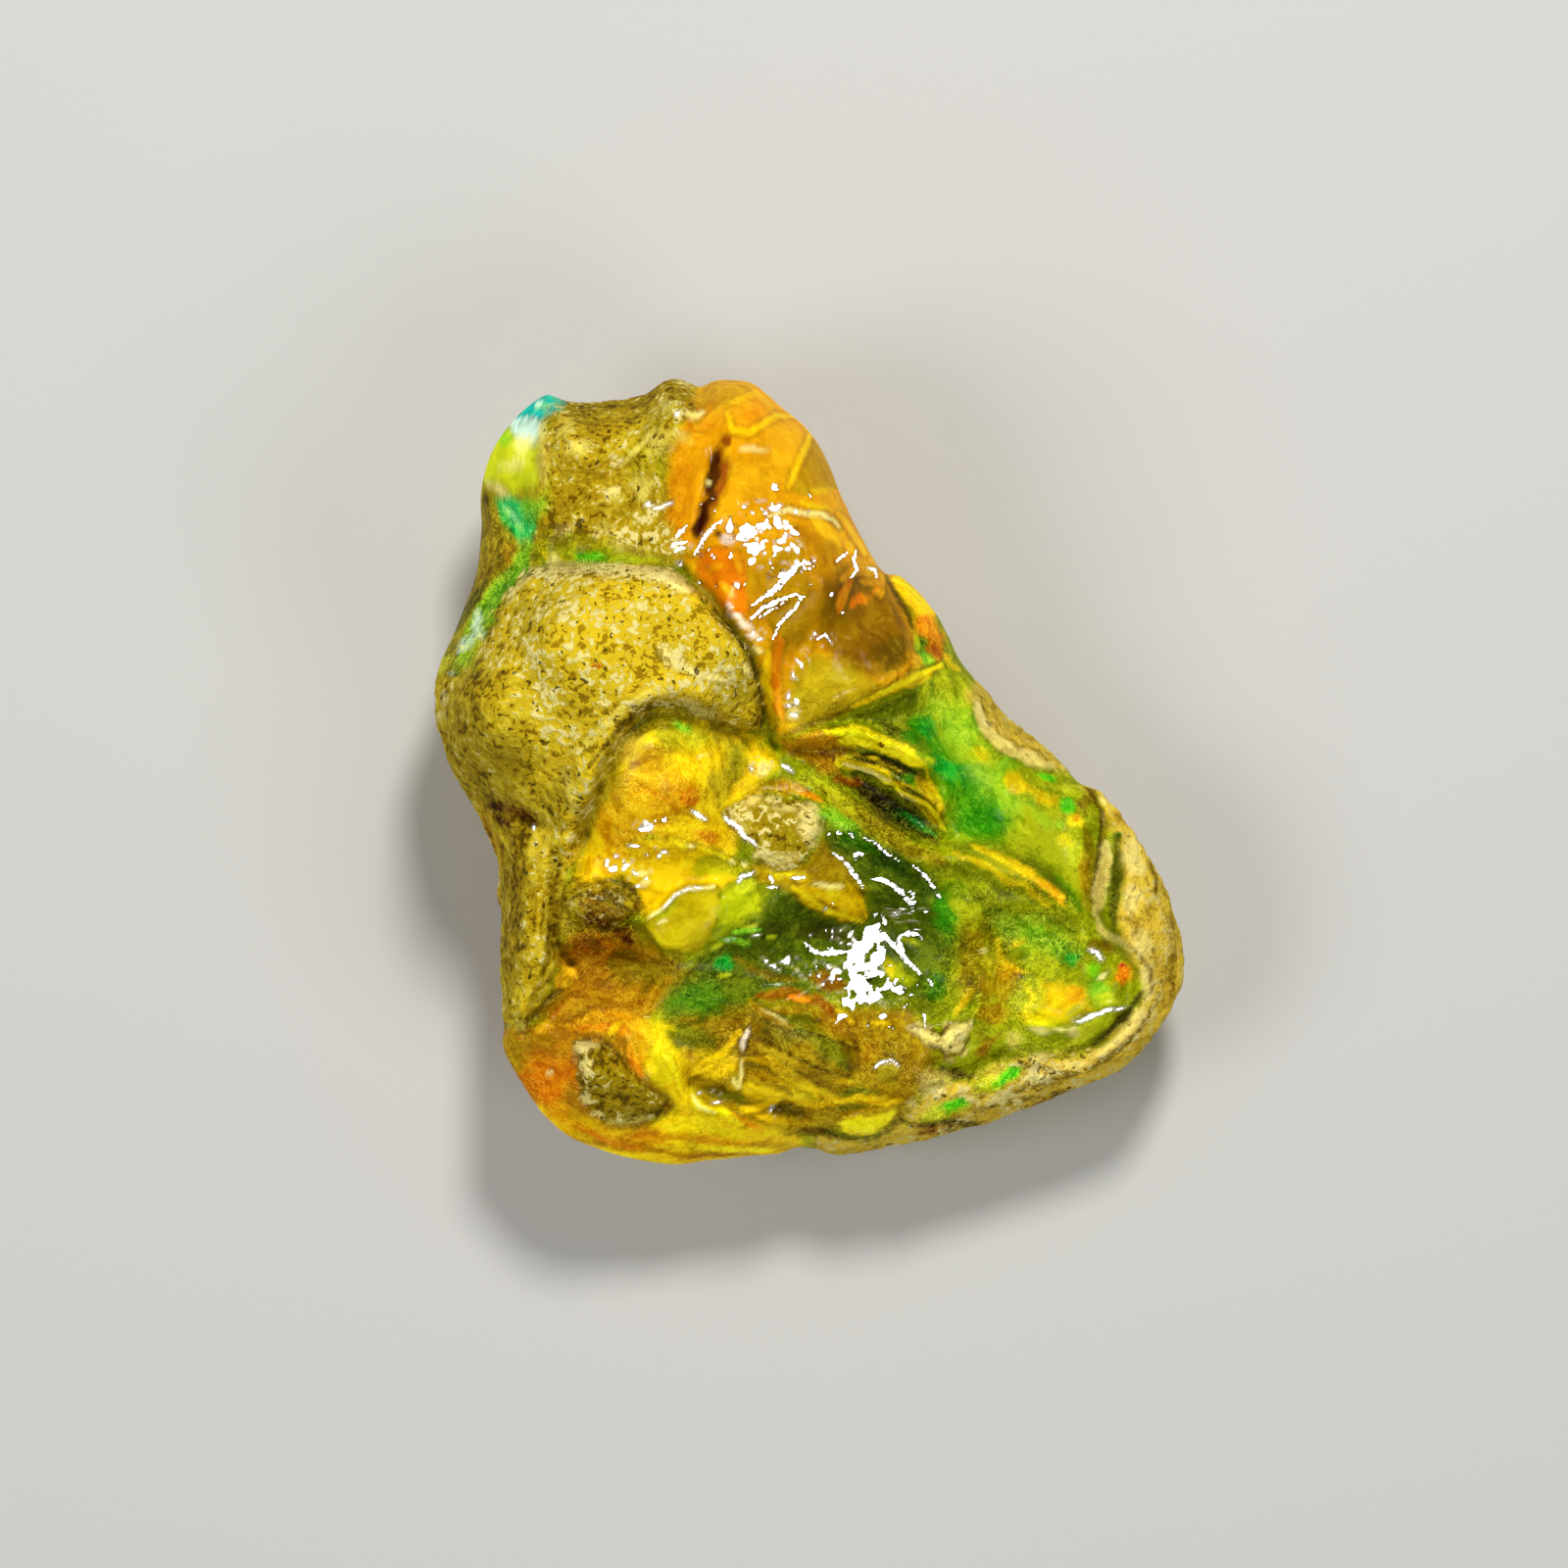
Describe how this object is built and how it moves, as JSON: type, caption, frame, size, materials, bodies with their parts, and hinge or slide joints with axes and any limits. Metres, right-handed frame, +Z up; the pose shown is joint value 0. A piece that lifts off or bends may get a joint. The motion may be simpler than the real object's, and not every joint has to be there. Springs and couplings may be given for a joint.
{
  "type": "rough opal",
  "caption": "Uncut opal nodule partly covered by its own host rock, broken open above and resting on a flat fracture face below.",
  "frame": {"origin": "on the ground under the middle of the stone's box", "axes": "+Z up out of the broken face that the stone rests on, +Y along its longest side, towards the glassy tip"},
  "size_m": [0.0274, 0.0286, 0.0144],
  "materials": {
    "opal": "glossy broken opal in amber, yellow and green, with granular tan host rock"
  },
  "bodies": {
    "root": {"opal_stone": "opal"}
  },
  "joints": []
}
